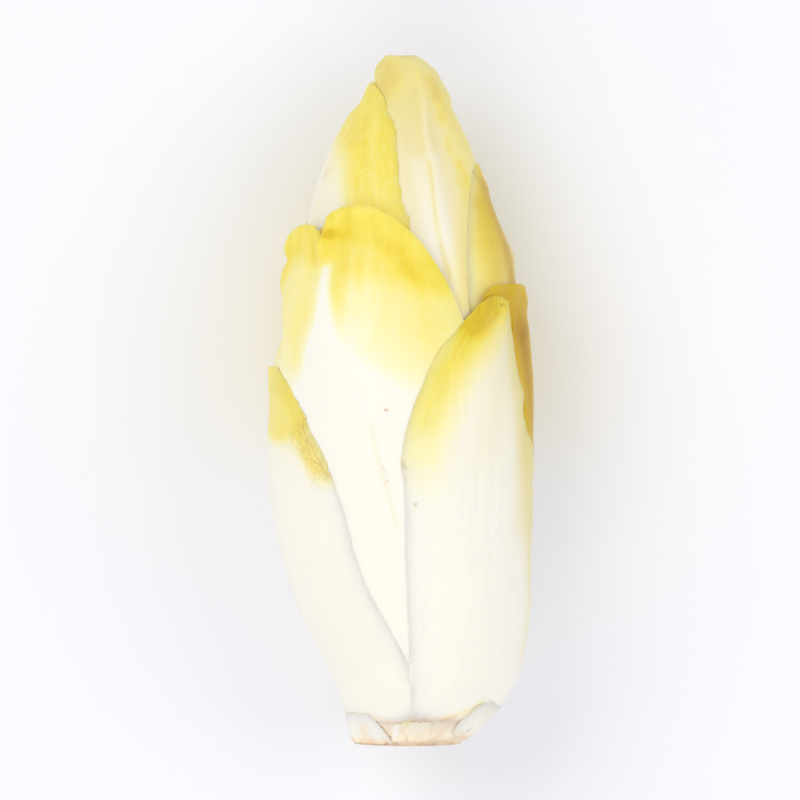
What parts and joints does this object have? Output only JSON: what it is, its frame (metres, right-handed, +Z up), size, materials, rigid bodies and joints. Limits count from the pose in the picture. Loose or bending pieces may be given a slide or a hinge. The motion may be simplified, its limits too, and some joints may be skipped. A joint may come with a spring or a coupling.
{
  "type": "belgian endive",
  "caption": "Head of Belgian endive with a cut stem, tightly wrapped white leaves and yellow leaf margins, lying on its side.",
  "frame": {"origin": "on the surface the head lies on, below the middle of its bounding box", "axes": "+Z up from that surface, +Y along the head from the cut foot to the leaf tips, +X to the right"},
  "size_m": [0.0517, 0.134, 0.049],
  "materials": {
    "outer_leaf": null,
    "upper_leaf": "waxy white leaf with a white midrib and yellow, net-veined margins",
    "inner_leaf": "thin pale inner leaf, moist and satin",
    "leaf_stub": "broken leaf base, white with brown dried edges",
    "stem": "cut stem, cream flesh browned on the cut"
  },
  "bodies": {
    "root": {"leaf_outer_right": "outer_leaf", "leaf_outer_left": "outer_leaf", "leaf_outer_under": "outer_leaf", "leaf_right_back": "outer_leaf", "leaf_front": "upper_leaf", "leaf_left_back": "upper_leaf", "leaf_right_side": "upper_leaf", "leaf_upper_left": "upper_leaf", "leaf_upper_under": "upper_leaf", "leaf_upper_right": "upper_leaf", "leaf_inner_1": "inner_leaf", "leaf_inner_2": "inner_leaf", "leaf_inner_3": "inner_leaf", "leaf_inner_4": "inner_leaf", "leaf_inner_5": "inner_leaf", "leaf_inner_6": "inner_leaf", "leaf_stub_left": "leaf_stub", "leaf_stub_front": "leaf_stub", "leaf_stub_right": "leaf_stub", "leaf_stub_under": "leaf_stub", "leaf_stub_back": "leaf_stub", "stem": "stem"}
  },
  "joints": []
}
